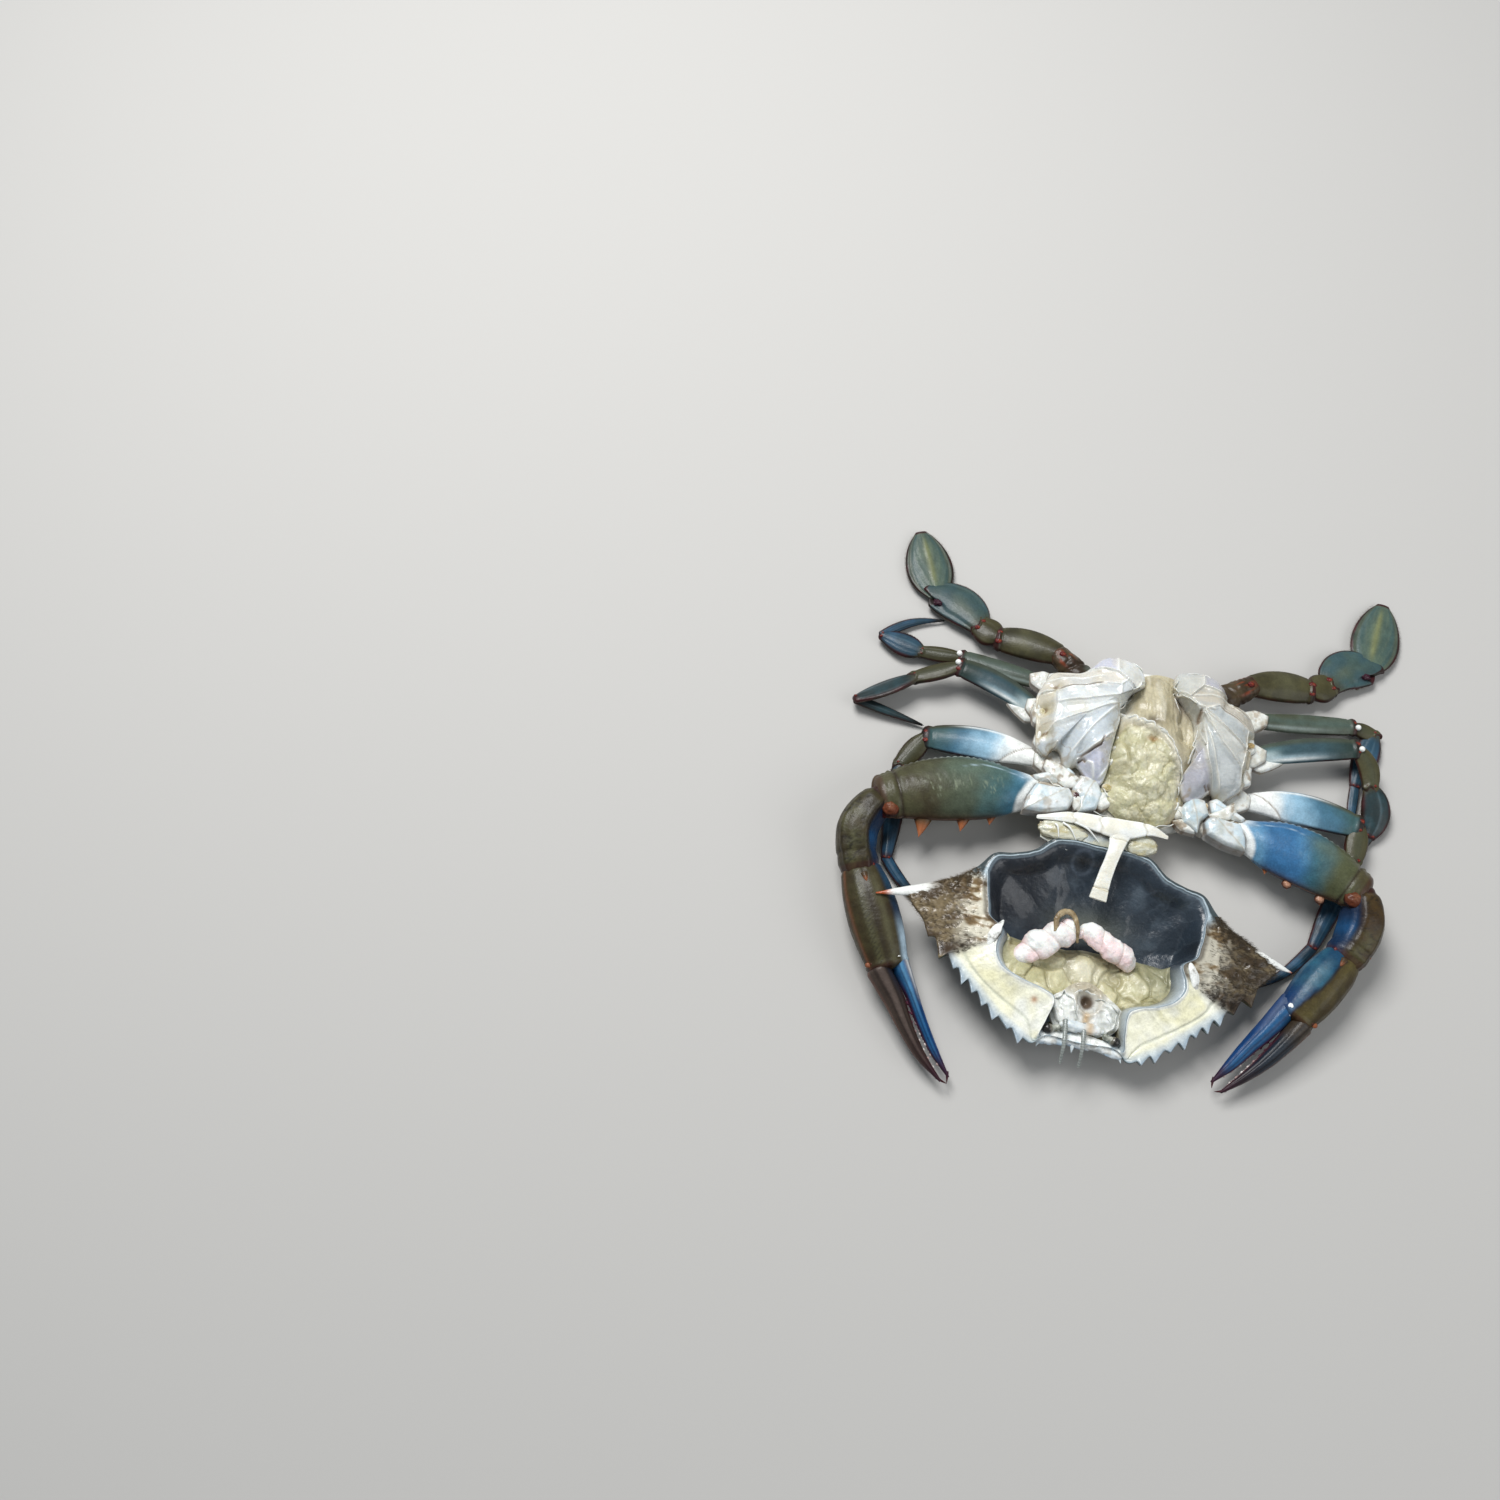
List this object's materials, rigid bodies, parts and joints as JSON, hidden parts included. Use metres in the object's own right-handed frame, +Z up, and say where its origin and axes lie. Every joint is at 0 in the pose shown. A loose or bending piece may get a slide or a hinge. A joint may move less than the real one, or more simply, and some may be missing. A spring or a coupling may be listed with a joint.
{
  "type": "crab",
  "caption": "Life-size still model of a male blue crab lying spread out, its top shell taken off and laid upturned between its claws.",
  "frame": {"origin": "on the floor under the middle of the body, on the flat underside of the thorax", "axes": "-Y is the way the crab faces and +Z is up; nodes named left lie on the -X side and nodes named right on the +X side, as someone sees them who faces the crab"},
  "size_m": [0.2293, 0.2439, 0.03],
  "materials": {
    "olive": "wet shell, olive brown",
    "blue": "wet shell, blue to teal",
    "teal": "wet shell, blue-green with dark edges",
    "dark": "wet shell, brown with dark red tips",
    "white": "wet white shell of joints and underside",
    "membrane": "wet, milky, ribbed inner shell",
    "tissue": "wet, creamy yellow organs",
    "carapace": "inside of the top shell: dark and wet with cream plates",
    "eye": "glossy black"
  },
  "bodies": {
    "root": {"thorax": "white", "gill_chamber_left": "membrane", "gill_chamber_right": "membrane", "soft_organs": "tissue", "claw_left_base": "white", "claw_left_merus": "blue", "claw_left_carpus": "olive", "claw_left_palm": "olive", "claw_left_finger": "dark", "claw_right_base": "white", "claw_right_merus": "blue", "claw_right_carpus": "olive", "claw_right_palm": "olive", "claw_right_finger": "dark", "leg2_left_base": "white", "leg2_left_merus": "blue", "leg2_left_carpus": "olive", "leg2_left_propodus": "teal", "leg2_left_dactyl": "teal", "leg2_right_base": "white", "leg2_right_merus": "blue", "leg2_right_carpus": "olive", "leg2_right_propodus": "teal", "leg2_right_dactyl": "teal", "leg3_left_base": "white", "leg3_left_merus": "blue", "leg3_left_carpus": "olive", "leg3_left_propodus": "teal", "leg3_left_dactyl": "teal", "leg3_right_base": "white", "leg3_right_merus": "blue", "leg3_right_carpus": "olive", "leg3_right_propodus": "teal", "leg3_right_dactyl": "teal", "leg4_left_base": "white", "leg4_left_merus": "blue", "leg4_left_carpus": "olive", "leg4_left_propodus": "teal", "leg4_left_dactyl": "teal", "leg4_right_base": "white", "leg4_right_merus": "blue", "leg4_right_carpus": "olive", "leg4_right_propodus": "teal", "leg4_right_dactyl": "teal", "swim_left_base": "white", "swim_left_merus": "blue", "swim_left_carpus": "olive", "swim_left_propodus": "teal", "swim_left_paddle": "teal", "swim_right_base": "white", "swim_right_merus": "blue", "swim_right_carpus": "olive", "swim_right_propodus": "teal", "swim_right_paddle": "teal", "shell": "carapace", "shell_organs": "tissue", "face": "white", "eye_left": "eye", "eye_right": "eye", "apron": "white"}
  },
  "joints": []
}
